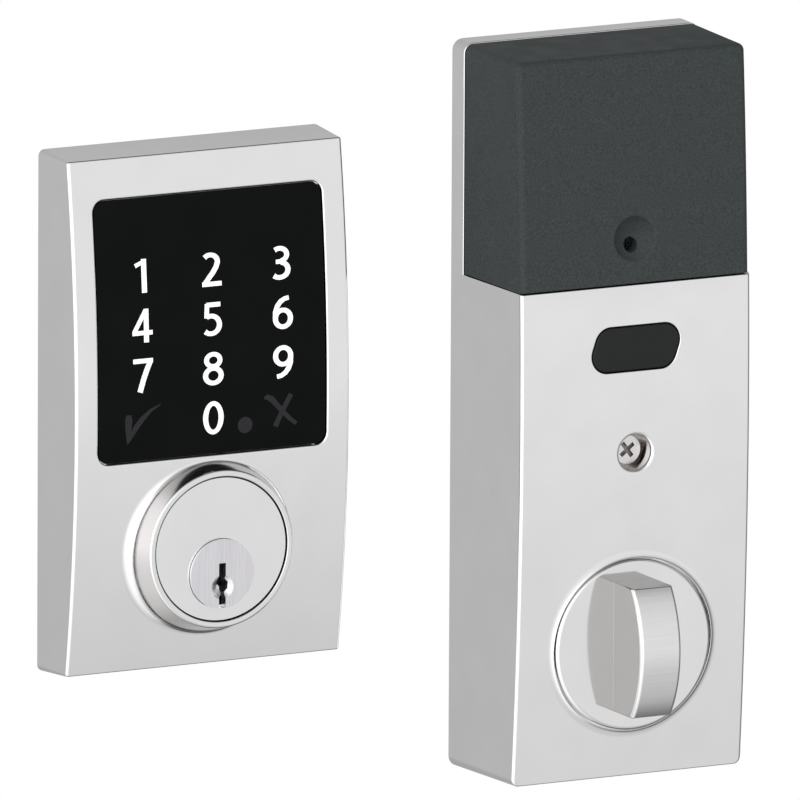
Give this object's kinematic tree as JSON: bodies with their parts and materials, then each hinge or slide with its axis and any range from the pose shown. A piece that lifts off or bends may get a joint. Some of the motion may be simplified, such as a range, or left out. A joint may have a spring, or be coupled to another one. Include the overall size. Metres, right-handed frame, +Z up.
{
  "type": "keypad smart lock",
  "caption": "Touchscreen keypad deadbolt lock in two halves: keypad and key cylinder outside, battery pack, motor and thumbturn inside",
  "frame": {"origin": "on the key plug's axis in the door face plane, midway between the two tapped posts", "axes": "+Z up, fronts of both halves face -Y, door side is +Y, inside half at +X"},
  "size_m": [0.195, 0.1166, 0.1988],
  "materials": {
    "casing_chrome": "bright, lightly mirrored",
    "trim_chrome": "polished",
    "plug_nickel": "brushed upright",
    "screen_glass": "gloss black",
    "rubber_black": "matte",
    "clear_plastic": "frosted",
    "circuit_board": "solder mask",
    "led_white": "gloss",
    "black_steel": "black oxide",
    "dark_plastic": "fine moulded grain",
    "brass": "machined",
    "spring_steel": "drawn wire",
    "screw_steel": "plated",
    "plate_steel": "zinc plated sheet",
    "cover_plastic": "fine texture",
    "button_plastic": "satin",
    "nylon_white": "moulded",
    "battery_wrap": "printed sleeve"
  },
  "bodies": {
    "lock_body": {"exterior_escutcheon": "casing_chrome", "touchscreen_lens": "screen_glass", "screen_gasket": "rubber_black", "light_guide": "clear_plastic", "digit_leds": "led_white", "touch_board": "circuit_board", "touch_board_connector": "nylon_white", "screen_carrier": "dark_plastic", "screen_carrier_screws": "screw_steel", "cylinder_ring": "trim_chrome", "cylinder_housing": "trim_chrome", "driver_pins": "brass", "pin_springs": "spring_steel", "chamber_cap": "brass", "cylinder_screws": "screw_steel", "mounting_posts": "screw_steel", "exterior_back_plate": "plate_steel", "exterior_back_plate_screws": "screw_steel", "weather_gasket": "rubber_black", "cable_grommet": "rubber_black", "interior_housing": "casing_chrome", "battery_tray": "dark_plastic", "aa_cells": "battery_wrap", "battery_springs": "spring_steel", "battery_terminals": "spring_steel", "upper_housing_screws": "screw_steel", "housing_screw": "screw_steel", "button_spring": "spring_steel", "tact_switch": "dark_plastic", "control_board": "circuit_board", "board_screws": "screw_steel", "cable_socket": "nylon_white", "radio_module": "screw_steel", "alarm_sounder": "dark_plastic", "turn_bushing": "nylon_white", "compound_gear_pin": "screw_steel", "gear_motor": "screw_steel", "gear_chassis": "dark_plastic", "chassis_screws": "screw_steel", "position_sensor": "circuit_board", "support_plate": "plate_steel"},
    "key_plug": {"key_plug": "plug_nickel", "key_pins": "brass", "plug_retainer": "plate_steel", "tailpiece": "plate_steel"},
    "thumbturn": {"thumbturn": "trim_chrome", "thumbturn_disc": "trim_chrome", "spindle_hub": "plate_steel", "spindle_circlip": "spring_steel", "main_gear": "nylon_white"},
    "compound_gear": {"compound_gear": "nylon_white"},
    "motor_pinion": {"motor_pinion": "brass", "motor_shaft": "screw_steel"},
    "oval_button": {"oval_button": "button_plastic"},
    "battery_cover": {"battery_cover": "cover_plastic", "cover_screw": "black_steel"}
  },
  "joints": [
    {"name": "key_turn", "type": "hinge", "parent": "lock_body", "child": "key_plug", "pos_m": [0, 0, 0], "axis": [0, 1, 0], "range_deg": [-90, 90]},
    {"name": "thumb_turn", "type": "hinge", "parent": "lock_body", "child": "thumbturn", "pos_m": [0.1174, 0, -0.0279], "axis": [0, 1, 0], "range_deg": [-90, 90]},
    {"name": "compound_spin", "type": "hinge", "parent": "lock_body", "child": "compound_gear", "pos_m": [0.10341, 0, -0.00551], "axis": [0, 1, 0], "range_deg": [-410, 410]},
    {"name": "motor_spin", "type": "hinge", "parent": "lock_body", "child": "motor_pinion", "pos_m": [0.12142, 0, 0.00489], "axis": [0, 1, 0], "range_deg": [-1360, 1360]},
    {"name": "button_press", "type": "slide", "parent": "lock_body", "child": "oval_button", "axis": [0, 1, 0], "range_m": [0, 0.001], "stiffness_N_per_m": 300, "springref_m": -0.002, "deforming": ["button_spring"]},
    {"name": "cover_pull", "type": "slide", "parent": "lock_body", "child": "battery_cover", "axis": [0, -1, 0], "range_m": [0, 0.045]}
  ],
  "couplings": [
    {"joint": "compound_spin", "follows": "thumb_turn", "ratio": -4.5},
    {"joint": "motor_spin", "follows": "thumb_turn", "ratio": 15}
  ]
}
